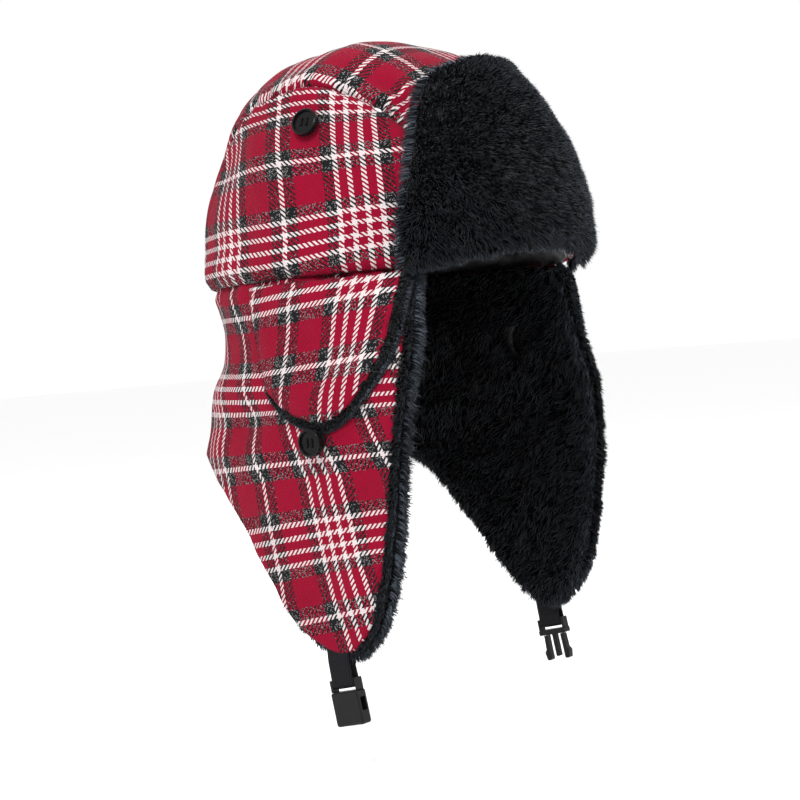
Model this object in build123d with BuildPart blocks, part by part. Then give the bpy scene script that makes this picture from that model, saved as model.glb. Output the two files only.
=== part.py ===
"""Trapper hat: plaid wool crown, fur front flap, fur-lined ear and neck flaps, ear covers, chin buckle.

Millimetres. +Z is up, the wearer faces -Y and the wearer's right is -X. The origin is the centre of the
head opening, in the plane of the seam that joins the crown to the ear flaps.
"""

import os
from math import cos, radians, sin

from build123d import *

os.makedirs("parts", exist_ok=True)

# Crown: a superellipsoid dome over an egg-shaped head opening, shorter in front than behind
CROWN_SIDE = 94.0
CROWN_FRONT = 103.0
CROWN_BACK = 114.0
CROWN_HEIGHT = 128.0
CROWN_SQUARENESS = 2.8
PROFILE_STEPS = 8

# Cloth layers
WOOL = 2.5
WADDING = 2.8
LINING = 1.5
PILE = 9.0
LAYER_GAP = 0.2
BODY_GAP = 0.3

# Panels of the crown: two side panels and a strip over the top from front to back
STRIP_HALF = 72.0
SEAM_RADIUS = 237.0
BROW_START = -65.0
BROW_RISE = 10.0

# Skirt below the seam, as (height, side, front and back semi-axes) of its plan at five levels
SKIRT_SECTIONS = (
    (0.0, 94.0, 103.0, 114.0),
    (-32.0, 92.5, 128.0, 103.5),
    (-88.0, 98.0, 215.0, 119.0),
    (-145.0, 99.0, 222.0, 127.0),
    (-215.0, 97.0, 230.0, 145.0),
)
FLAP_CUT = 34.0
FLAP_TIP = -197.0
TIP_Y = -21.0
FRONT_PILE_BORDER = 9.0
NAPE_HEM = -82.0

# Ear port and the cover over it
PORT_Y = -22.0
PORT_Z = -42.0
PORT_RADIUS = 14.0
COVER_STANDOFF = 1.6
COVER_LAYER = 2.0
COVER_BORDER = 7.5
COVER_TOP = -3.5
COVER_TIP = -77.0

# Front flap, which is folded up against the crown
VISOR_HALF = 74.0
VISOR_TOP = 103.0
VISOR_STANDOFF = 1.0
VISOR_BACKING = 2.2
VISOR_PILE = 11.0
VISOR_PILE_TOP = 6.0

# Buttons
BUTTON_RADIUS = 7.4
BUTTON_THICK = 4.0
BUTTON_RIM = 1.3
BUTTON_ROUND = 0.6
BUTTON_HOLE = 0.9
BUTTON_HOLE_SPACING = 3.2
UPPER_STANDOFF = 1.4
LOWER_STANDOFF = 6.4
SHANK_RADIUS = 1.2
UPPER_BUTTON_Y = -18.0
UPPER_BUTTON_Z = 78.5
LOWER_BUTTON_Y = -23.0
LOWER_BUTTON_Z = -86.5
FLAP_FACE_X = -97.7
LOOP_ROD = 0.8

# Chin strap and side-release buckle
STRAP_X = -94.0
WEBBING_WIDTH = 15.0
TIP_CLEARANCE = 1.2
WEBBING_THICK = 1.4
BAR_RADIUS = 1.3
BAR_CLEARANCE = 0.3
BAR_DROP = 12.0
STRAP_SLANT = 10.0
BUCKLE_WIDTH = 19.0
BUCKLE_THICK = 7.0
BUCKLE_WALL = 1.1
RAIL_WIDTH = 1.6
BODY_DROP = 4.3
SOCKET_LENGTH = 18.0
PLUG_BASE = 3.2
PRONG_LENGTH = 15.0
PRONG_WIDTH = 2.4
PRONG_THICK = 3.4
PRONG_SPREAD = 6.0
GUIDE_WIDTH = 3.0

LARGE = 400.0


def crown_profile(reach, height, steps=PROFILE_STEPS):
    """Points of one quarter of the superellipse, from the rim to the top."""
    power = 2 / CROWN_SQUARENESS
    angles = [radians(90 * step / steps) for step in range(steps)]
    points = [(reach * cos(a) ** power, height * sin(a) ** power) for a in angles]
    return points + [(0, height)]


def half_dome(reach, height, side):
    """Solid half of the crown's dome: side is 1 for the back half and -1 for the front half."""
    with BuildPart() as half:
        with BuildSketch(Plane.XZ):
            with BuildLine():
                Spline(*crown_profile(reach, height), tangents=[(0, 1), (-1, 0)])
                Line((0, height), (0, 0))
                Line((0, 0), (reach, 0))
            make_face()
        revolve(axis=Axis.Z)
        split(bisect_by=Plane((0, 0, 0), z_dir=(0, side, 0)), keep=Keep.TOP)
        length = CROWN_FRONT / CROWN_BACK if side < 0 else 1
        scale(by=(CROWN_SIDE / CROWN_BACK, length, 1))
    return half.part


def dome_solid(reach, height):
    """Solid dome; reach is its length behind the middle."""
    with BuildPart() as dome:
        add(half_dome(reach, height, 1))
        add(half_dome(reach, height, -1))
    return dome.part


def dome_shell(reach, height, thickness):
    """Shell of the crown's dome."""
    with BuildPart() as shell:
        add(dome_solid(reach, height))
        add(dome_solid(reach - thickness, height - thickness), mode=Mode.SUBTRACT)
    return shell.part


def skirt(grow):
    """Solid inside the flaps' outer surface, moved outwards by grow."""
    with BuildPart() as solid:
        for height, side, front, back in SKIRT_SECTIONS:
            with BuildSketch(Plane.XY.offset(height)):
                with BuildLine():
                    EllipticalCenterArc((0, 0), side + grow, back + grow, 0, arc_size=180)
                    EllipticalCenterArc((0, 0), side + grow, front + grow, 180, arc_size=180)
                make_face()
        loft()
    return solid.part


def flap_outline(border):
    """Side view of the whole ear and neck flap; border moves its front edge forwards."""
    with BuildSketch(Plane.YZ) as outline:
        with BuildLine():
            Spline(
                (-66 - border, -BODY_GAP),
                (-67 - border, -77),
                (-51 - border, -168),
                (TIP_Y - border / 3, FLAP_TIP),
                (5, -182),
                (30, -150),
                (56, -113),
                (84, -88),
                (130, NAPE_HEM),
            )
            Line((130, NAPE_HEM), (130, -BODY_GAP))
            Line((130, -BODY_GAP), (-66 - border, -BODY_GAP))
        make_face()
    return outline.sketch


def cover_outline(border):
    """Side view of an ear cover: straight top, sides that close in to a rounded tip."""
    with BuildSketch(Plane.YZ) as outline:
        with BuildLine():
            Polyline(
                (23 + border / 6, COVER_TOP),
                (-65 - border, COVER_TOP),
                (-61 - border, -36),
                (-49 - border * 0.8, -61),
                (-24, COVER_TIP - border * 0.75),
                (1, -68 - border / 2),
                (15 + border / 6, -50),
                (23 + border / 6, COVER_TOP),
            )
        make_face()
        low = outline.vertices().filter_by(lambda corner: corner.Y < COVER_TOP - 1)
        fillet(low, radius=9)
    return outline.sketch


def wall(outline, outer_grow, inner_grow):
    """Both sides of the skirt between two surfaces, trimmed to a side view."""
    with BuildPart() as ring:
        add(skirt(outer_grow))
        add(skirt(inner_grow), mode=Mode.SUBTRACT)
        extrude(outline, amount=LARGE, both=True, mode=Mode.INTERSECT)
    return ring.part


def cut_off(part, plane):
    """What lies on the positive side of a plane."""
    with BuildPart() as kept:
        add(part)
        split(bisect_by=plane, keep=Keep.TOP)
    return kept.part


def brow_arch():
    """Cut that raises the crown's lower edge over the brow."""
    reach = CROWN_FRONT + BROW_START
    radius = (reach**2 + BROW_RISE**2) / (2 * BROW_RISE)
    with BuildPart() as arch:
        with BuildSketch(Plane.YZ):
            with Locations((BROW_START - LARGE / 2, BROW_RISE)):
                Rectangle(LARGE, 2 * BROW_RISE + 30)
            with Locations((BROW_START, radius)):
                Circle(radius, mode=Mode.SUBTRACT)
        extrude(amount=LARGE, both=True)
    return arch.part


def crown_layer(inset, thickness):
    """One shell of the crown, open at the head and cut to the brow arch."""
    with BuildPart() as layer:
        add(dome_shell(CROWN_BACK - inset, CROWN_HEIGHT - inset, thickness))
        add(brow_arch(), mode=Mode.SUBTRACT)
    return layer.part


def save(part, name):
    """Label a finished piece and write its STEP file."""
    part.label = name
    export_step(part, f"parts/{name}.step")


def mirrored(part):
    """The wearer's left copy of a piece on the right."""
    with BuildPart() as left:
        mirror(part, about=Plane.YZ)
    return left.part


def save_pair(part, name):
    """Write a piece on the wearer's right and its mirror image on the left."""
    save(part, f"{name}_right")
    save(mirrored(part), f"{name}_left")


# Crown: outer wool panels, wadding and quilted lining
wool_shell = crown_layer(0, WOOL)
right_side = Plane((0, 0, 0), z_dir=(-1, 0, 0))
seam_centre = SEAM_RADIUS - STRIP_HALF


def seam_cutter(centre_x, gap):
    """Upright cylinder whose side runs along the curved seam between a side panel and the strip."""
    with BuildPart() as cutter:
        with BuildSketch():
            with Locations((centre_x, 0)):
                Circle(SEAM_RADIUS + gap)
        extrude(amount=LARGE)
    return cutter.part


with BuildPart() as side_panel:
    add(cut_off(wool_shell, right_side))
    add(seam_cutter(seam_centre, LAYER_GAP / 2), mode=Mode.SUBTRACT)
save_pair(side_panel.part, "crown_side_panel")

with BuildPart() as centre_strip:
    add(wool_shell)
    add(seam_cutter(seam_centre, -LAYER_GAP / 2), mode=Mode.INTERSECT)
    add(seam_cutter(-seam_centre, -LAYER_GAP / 2), mode=Mode.INTERSECT)
save(centre_strip.part, "crown_centre_strip")

wadding_inset = WOOL + LAYER_GAP
save(crown_layer(wadding_inset, WADDING), "crown_wadding")
lining_inset = wadding_inset + WADDING + LAYER_GAP
save(crown_layer(lining_inset, LINING), "crown_lining")

# Ear flaps and neck flap: wool outside, fur inside
behind_cut = Plane((0, FLAP_CUT + BODY_GAP / 2, 0), z_dir=(0, 1, 0))
before_cut = Plane((0, FLAP_CUT - BODY_GAP / 2, 0), z_dir=(0, -1, 0))
with BuildPart() as ear_port:
    with BuildSketch(Plane.YZ):
        with Locations((PORT_Y, PORT_Z)):
            Circle(PORT_RADIUS)
    extrude(amount=-LARGE)


def save_flaps(ring, name):
    """Cut a ring of cloth or fur into the two ear flaps, with their ports, and the neck flap."""
    with BuildPart() as flap:
        add(cut_off(cut_off(ring, before_cut), right_side))
        add(ear_port.part, mode=Mode.SUBTRACT)
    save_pair(flap.part, f"ear_flap_{name}")
    save(cut_off(ring, behind_cut), f"neck_flap_{name}")


save_flaps(wall(flap_outline(0), 0, -WOOL), "shell")
pile_grow = -WOOL - LAYER_GAP
save_flaps(wall(flap_outline(FRONT_PILE_BORDER), pile_grow, pile_grow - PILE), "fur")

# Ear covers: a wool face on a fleece lining that shows as a dark border
cover_lining = wall(cover_outline(COVER_BORDER), COVER_STANDOFF + COVER_LAYER, COVER_STANDOFF)
save_pair(cut_off(cover_lining, right_side), "ear_cover_lining")
cover_wool_grow = COVER_STANDOFF + COVER_LAYER + LAYER_GAP
cover_shell = wall(cover_outline(0), cover_wool_grow + COVER_LAYER, cover_wool_grow)
save_pair(cut_off(cover_shell, right_side), "ear_cover_shell")


# Front flap: a wool backing next to the crown and fur outside
def visor_outline(inset):
    """Front view of the front flap, with its lower edge arched over the brow."""
    half = VISOR_HALF - inset
    top = VISOR_TOP - inset
    with BuildSketch(Plane.XZ) as outline:
        with BuildLine():
            ThreePointArc((-half, 1), (0, BROW_RISE + 1), (half, 1))
            Polyline(
                (half, 1),
                (half - 8, 72),
                (half - 20, top),
                (-half + 20, top),
                (-half + 8, 72),
                (-half, 1),
            )
        make_face()
        corners = outline.vertices().filter_by(lambda corner: corner.Y > 60)
        fillet(corners, radius=18)
    return outline.sketch


def visor_layer(outline, shell):
    """One layer of the front flap, trimmed to its front view."""
    with BuildPart() as layer:
        add(shell)
        extrude(outline, amount=LARGE, mode=Mode.INTERSECT)
    return layer.part


backing_reach = CROWN_BACK + VISOR_STANDOFF + VISOR_BACKING
backing_height = CROWN_HEIGHT + VISOR_STANDOFF + VISOR_BACKING
backing_shell = dome_shell(backing_reach, backing_height, VISOR_BACKING)
save(visor_layer(visor_outline(3), backing_shell), "front_flap_backing")
inner_reach = backing_reach + LAYER_GAP
inner_height = backing_height + LAYER_GAP
with BuildPart() as pile:
    add(dome_solid(inner_reach + VISOR_PILE, inner_height + VISOR_PILE_TOP))
    add(dome_solid(inner_reach, inner_height), mode=Mode.SUBTRACT)
save(visor_layer(visor_outline(0), pile.part), "front_flap_fur")


# Buttons
def button(plane, standoff):
    """Four-hole button with a raised rim, standoff above the plane."""
    with BuildPart() as disc:
        with BuildSketch(plane.offset(standoff)):
            Circle(BUTTON_RADIUS)
        extrude(amount=BUTTON_THICK)
        fillet(disc.edges(), radius=BUTTON_ROUND)
        with BuildSketch(plane.offset(standoff + BUTTON_THICK)):
            Circle(BUTTON_RADIUS - BUTTON_RIM)
        extrude(amount=-1.2, mode=Mode.SUBTRACT)
        with BuildSketch(plane.offset(standoff)):
            with GridLocations(BUTTON_HOLE_SPACING, BUTTON_HOLE_SPACING, 2, 2):
                Circle(BUTTON_HOLE)
        extrude(amount=BUTTON_THICK, mode=Mode.SUBTRACT)
    return disc.part


def thread(plane, standoff):
    """Sewing thread: a wrapped shank under the button and two bars across its holes."""
    half = BUTTON_HOLE_SPACING / 2
    bar_top = standoff + BUTTON_THICK - 1.2 + 0.7
    with BuildPart() as stitches:
        with BuildSketch(plane.offset(0.1)):
            Circle(SHANK_RADIUS + 1.6)
        extrude(amount=standoff - 0.2)
        for side in (-half, half):
            with BuildSketch(plane.offset(standoff - 0.2)):
                with Locations((side, -half), (side, half)):
                    Circle(BUTTON_HOLE - 0.25)
            extrude(amount=bar_top - standoff + 0.2)
            with BuildSketch(plane.offset(bar_top - 0.6)):
                with Locations((side, 0)):
                    Rectangle(1.1, BUTTON_HOLE_SPACING)
            extrude(amount=0.6)
    return stitches.part


def crown_height_factor(height):
    """Size of the crown's plan at a height, as a share of its plan at the seam."""
    power = CROWN_SQUARENESS
    return (1 - (height / CROWN_HEIGHT) ** power) ** (1 / power)


def crown_button_plane():
    """Plane on the right of the crown where the upper button is sewn."""
    factor = crown_height_factor(UPPER_BUTTON_Z)
    across = factor * CROWN_SIDE
    along = factor * CROWN_FRONT
    x = -across * (1 - (UPPER_BUTTON_Y / along) ** 2) ** 0.5
    power = CROWN_SQUARENESS
    normal = (
        2 * x / CROWN_SIDE**2,
        2 * UPPER_BUTTON_Y / CROWN_FRONT**2,
        2 * factor ** (2 - power) * (UPPER_BUTTON_Z / CROWN_HEIGHT) ** (power - 1) / CROWN_HEIGHT,
    )
    return Plane(origin=(x, UPPER_BUTTON_Y, UPPER_BUTTON_Z), x_dir=(0, -1, 0), z_dir=normal)


upper_plane = crown_button_plane()
save_pair(button(upper_plane, UPPER_STANDOFF), "crown_button")
save_pair(thread(upper_plane, UPPER_STANDOFF), "crown_button_thread")

lower_plane = Plane(origin=(FLAP_FACE_X, LOWER_BUTTON_Y, LOWER_BUTTON_Z), x_dir=(0, -1, 0), z_dir=(-1, 0, 0))
save_pair(button(lower_plane, LOWER_STANDOFF), "lower_button")
save_pair(thread(lower_plane, LOWER_STANDOFF), "lower_button_thread")

# Elastic loop at each cover's tip, round the button's shank
loop_reach = SHANK_RADIUS + 1.6 + LOOP_ROD + 0.5
loop_plane = Plane(origin=(FLAP_FACE_X - 2.8, LOWER_BUTTON_Y, LOWER_BUTTON_Z), x_dir=(0, 1, 0), z_dir=(1, 0, 0))
with BuildPart() as cover_loop:
    with BuildLine(loop_plane) as loop_path:
        CenterArc((0, 0), loop_reach, 180, 180)
        Line((-loop_reach, 0), (-loop_reach, 2.2))
        Line((loop_reach, 0), (loop_reach, 2.2))
    loop_start = loop_path.wires()[0] @ 0
    with BuildSketch(Plane(origin=loop_start, z_dir=loop_path.wires()[0] % 0)):
        Circle(LOOP_ROD)
    sweep(path=loop_path.wires()[0])
save_pair(cover_loop.part, "ear_cover_loop")

# Chin strap: a webbing loop below each ear flap's tip
strap_outer = BAR_RADIUS + BAR_CLEARANCE + WEBBING_THICK
strap_axis_z = FLAP_TIP - TIP_CLEARANCE - strap_outer
down_y = -sin(radians(STRAP_SLANT))
down_z = -cos(radians(STRAP_SLANT))
strap_down = Vector(0, down_y, down_z)
strap_origin = Vector(STRAP_X, TIP_Y, strap_axis_z)
side_view = Plane(origin=strap_origin, x_dir=(1, 0, 0), z_dir=(0, -down_z, down_y))
bar_origin = strap_origin + strap_down * BAR_DROP
buckle_side = Plane(origin=bar_origin, x_dir=(1, 0, 0), z_dir=(0, -down_z, down_y))
buckle_face = Plane(origin=bar_origin, x_dir=(0, -down_z, down_y), z_dir=(-1, 0, 0))

with BuildPart() as webbing:
    with BuildSketch(side_view):
        with Locations((0, BAR_DROP / 2)):
            SlotOverall(BAR_DROP + 2 * strap_outer, 2 * strap_outer, rotation=90)
            inner_width = 2 * (strap_outer - WEBBING_THICK)
            SlotOverall(BAR_DROP + inner_width, inner_width, rotation=90, mode=Mode.SUBTRACT)
    extrude(amount=WEBBING_WIDTH / 2, both=True)
save_pair(webbing.part, "strap_webbing")


# Side-release buckle: both halves share the bar that the webbing runs round, and the rails at its ends
rail_centre = (BUCKLE_WIDTH - RAIL_WIDTH) / 2
rail_top = -BAR_RADIUS - 0.7
with BuildPart() as strap_frame:
    with BuildSketch(buckle_side):
        Circle(BAR_RADIUS)
    extrude(amount=rail_centre, both=True)
    with BuildSketch(buckle_face):
        with Locations((0, (rail_top + BODY_DROP) / 2)):
            with GridLocations(2 * rail_centre, 1, 2, 1):
                Rectangle(RAIL_WIDTH, BODY_DROP - rail_top)
    extrude(amount=2.2, both=True)

with BuildPart() as socket:
    with BuildSketch(buckle_face):
        with Locations((0, BODY_DROP + SOCKET_LENGTH / 2)):
            RectangleRounded(BUCKLE_WIDTH, SOCKET_LENGTH, 1.5)
    extrude(amount=BUCKLE_THICK / 2, both=True)
    fillet(socket.faces().filter_by(Axis.X).edges(), radius=1.0)
    add(strap_frame.part)
    mouth_depth = SOCKET_LENGTH - 2.4
    with BuildSketch(buckle_face):
        with Locations((0, BODY_DROP + SOCKET_LENGTH - mouth_depth / 2)):
            Rectangle(BUCKLE_WIDTH - 3.2, mouth_depth)
    extrude(amount=BUCKLE_THICK / 2 - BUCKLE_WALL, both=True, mode=Mode.SUBTRACT)
    with BuildSketch(buckle_side):
        with Locations((0, BODY_DROP + 7.5)):
            Rectangle(3.8, 7.0)
    extrude(amount=BUCKLE_WIDTH, both=True, mode=Mode.SUBTRACT)
save(socket.part, "buckle_socket_right")

with BuildPart() as plug:
    with BuildSketch(buckle_face):
        with Locations((0, BODY_DROP + PLUG_BASE / 2)):
            RectangleRounded(BUCKLE_WIDTH, PLUG_BASE, 0.8)
    extrude(amount=2.9, both=True)
    add(strap_frame.part)
    with BuildSketch(buckle_face):
        with Locations((0, BODY_DROP + PLUG_BASE + PRONG_LENGTH / 2 - 1.5)):
            RectangleRounded(GUIDE_WIDTH, PRONG_LENGTH, 0.9)
    extrude(amount=1.2, both=True)
save(mirrored(plug.part), "buckle_plug_left")

prong_root = BODY_DROP + PLUG_BASE + BODY_GAP
for side, name in ((-1, "front"), (1, "rear")):
    with BuildPart() as prong:
        with BuildSketch(buckle_face):
            with BuildLine():
                Polyline(
                    (side * (PRONG_SPREAD - PRONG_WIDTH / 2), prong_root),
                    (side * (PRONG_SPREAD + PRONG_WIDTH / 2), prong_root),
                    (side * (PRONG_SPREAD + 1.6), prong_root + 8.4),
                    (side * (PRONG_SPREAD + 3.0), prong_root + 10.2),
                    (side * (PRONG_SPREAD + 2.2), prong_root + PRONG_LENGTH),
                    (side * (PRONG_SPREAD - 1.0), prong_root + PRONG_LENGTH),
                    (side * (PRONG_SPREAD - 1.0), prong_root + 8.4),
                    close=True,
                )
            make_face()
        extrude(amount=PRONG_THICK / 2, both=True)
        tip_edges = prong.edges().filter_by(Axis.X).sort_by(Axis.Z)[:2]
        fillet(tip_edges, radius=1.2)
    save(mirrored(prong.part), f"plug_prong_{name}_left")
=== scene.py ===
"""Looks of a plaid wool trapper hat: woven cloth with seams and puckers, black fur, quilted lining.

Shapes are worked out in millimetres in the row frame and written to Blender in metres.
"""

import math

import bpy
import numpy as np
from mathutils import Matrix, Vector
from mathutils.geometry import delaunay_2d_cdt


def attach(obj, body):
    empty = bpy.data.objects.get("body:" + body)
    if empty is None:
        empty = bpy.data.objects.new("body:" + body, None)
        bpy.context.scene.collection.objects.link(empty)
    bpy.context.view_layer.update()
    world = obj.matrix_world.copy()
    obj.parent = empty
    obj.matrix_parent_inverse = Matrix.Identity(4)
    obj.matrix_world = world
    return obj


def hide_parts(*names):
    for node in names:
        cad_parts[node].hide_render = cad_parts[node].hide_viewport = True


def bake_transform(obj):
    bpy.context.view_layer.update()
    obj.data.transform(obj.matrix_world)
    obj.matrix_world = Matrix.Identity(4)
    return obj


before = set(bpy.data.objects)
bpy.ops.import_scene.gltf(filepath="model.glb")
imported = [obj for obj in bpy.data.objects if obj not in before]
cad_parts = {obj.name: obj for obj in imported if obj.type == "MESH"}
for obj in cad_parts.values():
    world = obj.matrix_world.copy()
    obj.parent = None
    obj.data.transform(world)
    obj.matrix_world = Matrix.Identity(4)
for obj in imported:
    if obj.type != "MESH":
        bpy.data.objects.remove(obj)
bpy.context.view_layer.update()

MM = 0.001

# Crown, as in the CAD model
SIDE, FRONT, BACK, HEIGHT, SQUARENESS = 94.0, 103.0, 114.0, 128.0, 2.8
STRIP_HALF, SEAM_RADIUS = 72.0, 237.0
BROW_START, BROW_RISE = -65.0, 10.0

# Where folds gather at the top of the right side panel, and where its button is sewn on
PANEL_CORNER = (-61.5, -65, 90)
CROWN_BUTTON = (-85, -18, 78.5)

# Points inside the hat, which the outer faces of the crown and of the flaps look away from
INSIDE_CROWN = (0, 0, 30)
INSIDE_FLAPS = (0, 0, -60)

# Skirt below the seam: height, side, front and back semi-axes of its plan
SKIRT = np.array([
    (-215.0, 97.0, 230.0, 145.0),
    (-145.0, 99.0, 222.0, 127.0),
    (-88.0, 98.0, 215.0, 119.0),
    (-32.0, 92.5, 128.0, 103.5),
    (0.0, 94.0, 103.0, 114.0),
])

# Flap's tip, and the ear port's centre and radius
TIP_Y, TIP_Z = -21.0, -197.0
PORT_Y, PORT_Z, PORT_R = -22.0, -42.0, 14.0

# Lengths round the head are measured on a circle of this radius
ROUND = 105.0
BACK_END = ROUND * math.pi / 2

# Thickness of the wool, and the repeat of its plaid on each panel
WOOL = 2.0
STRIP_REPEAT, FLAP_REPEAT = 88.2, 77
COVER_REPEAT_ROUND, COVER_REPEAT_DOWN = 75, 88

# Front flap: half width and height of the outline, and how far its lower edge arches
VISOR_HALF, VISOR_TOP, VISOR_ARCH = 74, 103, 9

# Each side, and what the right side's points are multiplied by to make it
SIDES = (("right", np.array([1.0, 1.0, 1.0])), ("left", np.array([-1.0, 1.0, 1.0])))


# ---------------------------------------------------------------- shared maths
def smooth(x):
    """Smooth step from 0 to 1."""
    t = np.clip(x, 0, 1)
    return t * t * (3 - 2 * t)


def bump(distance, radius):
    """Smooth hill: 1 at distance 0, 0 beyond radius."""
    return smooth(1 - np.abs(distance) / radius)


def unit(v):
    """Vectors brought to length 1."""
    return v / np.maximum(np.linalg.norm(v, axis=-1, keepdims=True), 1e-9)


def rounding(edge, reach):
    """Share of full thickness at a distance from the edge: a quarter round as wide as reach."""
    t = np.clip(edge / reach, 0, 1)
    return np.sqrt(t * (2 - t))


def waves(p, seed, scale):
    """Gentle repeatable ripple field over points p, about -1 to 1."""
    draw = np.random.default_rng(seed)
    total = np.zeros(len(p))
    for _ in range(6):
        direction = unit(draw.normal(size=3))
        rate = draw.uniform(0.6, 1.8) * 2 * math.pi / scale
        total += np.sin(p @ direction * rate + draw.uniform(0, 6.28))
    return total / 3.2


def spline(points, count):
    """Points along a smooth curve through the given ones (Catmull-Rom)."""
    p = np.array(points, float)
    p = np.vstack([2 * p[0] - p[1], p, 2 * p[-1] - p[-2]])
    out = []
    for i in range(1, len(p) - 2):
        for t in np.linspace(0, 1, count, endpoint=False):
            a, b, c, d = p[i - 1 : i + 3]
            out.append(0.5 * (2 * b + (c - a) * t + (2 * a - 5 * b + 4 * c - d) * t**2
                              + (3 * b - a - 3 * c + d) * t**3))
    out.append(p[-2])
    return np.array(out)


def resample(points, step):
    """Points at even steps along a polyline."""
    p = np.array(points, float)
    run = np.concatenate([[0], np.cumsum(np.linalg.norm(np.diff(p, axis=0), axis=1))])
    at = np.linspace(0, run[-1], max(2, int(round(run[-1] / step)) + 1))
    return np.stack([np.interp(at, run, p[:, k]) for k in range(p.shape[1])], 1)


def shrink_factor(z):
    """Size of the crown's plan at height z, as a share of its plan at the seam."""
    z = np.clip(z, 0, HEIGHT * 0.9999)
    return (1 - (z / HEIGHT) ** SQUARENESS) ** (1 / SQUARENESS)


def crown_reach(y):
    """Length of the crown from its middle: shorter in front than behind."""
    return np.where(np.asarray(y) < 0, FRONT, BACK)


def crown_normal(p):
    """Outward normals of the crown at points p."""
    reach = crown_reach(p[:, 1])
    rho = np.maximum(np.hypot(p[:, 0] / SIDE, p[:, 1] / reach), 1e-4)
    flat = rho ** (SQUARENESS - 2)
    z = np.maximum(p[:, 2], 0) / HEIGHT
    upward = z ** (SQUARENESS - 1) / HEIGHT
    return unit(np.stack([p[:, 0] / SIDE**2 * flat, p[:, 1] / reach**2 * flat, upward], 1))


def skirt_axes(z):
    """Side, front and back semi-axes of the skirt at heights z, eased between levels."""
    level, axes = SKIRT[:, 0], SKIRT[:, 1:].T
    i = np.clip(np.searchsorted(level, z) - 1, 0, len(level) - 2)
    slopes = np.gradient(axes, level, axis=1)
    gap = level[i + 1] - level[i]
    t = (z - level[i]) / gap
    ease = 3 * t**2 - 2 * t**3
    bend = slopes[:, i] * (t**3 - 2 * t**2 + t) + slopes[:, i + 1] * (t**3 - t**2)
    return axes[:, i] * (1 - ease) + axes[:, i + 1] * ease + gap * bend


# ---------------------------------------------------------------- mesh tools
def vertex_normals(p, faces):
    """Area-weighted normals of triangles or quads."""
    n = np.zeros_like(p)
    a = p[faces[:, 1]] - p[faces[:, 0]]
    b = p[faces[:, -1]] - p[faces[:, 0]]
    cross = np.cross(a, b)
    if faces.shape[1] == 4:
        cross = np.cross(p[faces[:, 2]] - p[faces[:, 0]], p[faces[:, 3]] - p[faces[:, 1]])
    for k in range(faces.shape[1]):
        np.add.at(n, faces[:, k], cross)
    return unit(n)


def outward(p, faces, centre):
    """Faces turned so that their normals point away from a centre."""
    facing = (vertex_normals(p, faces) * (p - np.array(centre))).sum() > 0
    return faces if facing else faces[:, ::-1]


def turned(faces, flip):
    """Faces in the order that suits a side: those of a mirrored one run the other way round."""
    return faces[:, ::-1] if flip[0] < 0 else faces


def halves(quads):
    """Two triangles for each quad."""
    return np.vstack([quads[:, [0, 1, 2]], quads[:, [0, 2, 3]]])


def rim_edges(faces):
    """Edges with a face on one side only, in that face's direction."""
    corners = faces.shape[1]
    edges = np.concatenate([faces[:, [k, (k + 1) % corners]] for k in range(corners)])
    _, index, count = np.unique(np.sort(edges, axis=1), axis=0, return_index=True, return_counts=True)
    return edges[index[count == 1]]


def make_object(name, p, faces, uv=None):
    """Smooth mesh object from points in millimetres and a list of face arrays."""
    mesh = bpy.data.meshes.new(name)
    sizes = np.concatenate([np.full(len(f), f.shape[1]) for f in faces])
    loops = np.concatenate([f.ravel() for f in faces])
    mesh.vertices.add(len(p))
    mesh.vertices.foreach_set("co", (p * MM).astype(np.float32).ravel())
    mesh.loops.add(len(loops))
    mesh.loops.foreach_set("vertex_index", loops.astype(np.int32))
    mesh.polygons.add(len(sizes))
    starts = np.concatenate([[0], np.cumsum(sizes)[:-1]])
    mesh.polygons.foreach_set("loop_start", starts.astype(np.int32))
    mesh.polygons.foreach_set("use_smooth", np.full(len(sizes), True))
    mesh.update(calc_edges=True)
    if uv is not None:
        layer = mesh.uv_layers.new(name="cloth")
        layer.data.foreach_set("uv", uv[loops].astype(np.float32).ravel())
    obj = bpy.data.objects.new(name, mesh)
    bpy.context.scene.collection.objects.link(obj)
    return obj


def thicken(p, faces, thickness, roll=0.55):
    """Closed sheet from an outer surface: its points, its faces, and the surface point each one comes from.

    The edge is rolled: its middle stands out by a share of the thickness.
    """
    n = vertex_normals(p, faces)
    rim = rim_edges(faces)
    ends = np.unique(rim)
    slot_of = np.full(len(p), -1)
    slot_of[ends] = np.arange(len(ends))
    away = np.zeros((len(ends), 3))
    along = p[rim[:, 1]] - p[rim[:, 0]]
    side = unit(np.cross(along, n[rim[:, 0]]))
    np.add.at(away, slot_of[rim[:, 0]], side)
    np.add.at(away, slot_of[rim[:, 1]], side)
    inner = p - n * thickness
    middle = p[ends] - n[ends] * thickness / 2 + unit(away) * thickness * roll
    total = np.vstack([p, inner, middle])
    a, b = rim[:, 0], rim[:, 1]
    mid_a, mid_b = 2 * len(p) + slot_of[a], 2 * len(p) + slot_of[b]
    upper = np.stack([b, a, mid_a, mid_b], 1)
    lower = np.stack([mid_b, mid_a, a + len(p), b + len(p)], 1)
    source = np.concatenate([np.arange(len(p)), np.arange(len(p)), ends])
    return total, [faces, faces[:, ::-1] + len(p), upper, lower], source


def wool_piece(name, p, faces, uv):
    """Piece of the plaid wool, from its outer surface and that surface's cloth coordinates."""
    total, parts, source = thicken(p, faces, WOOL)
    return dress(make_object(name + "_cloth", total, parts, uv[source]), plaid)


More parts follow.
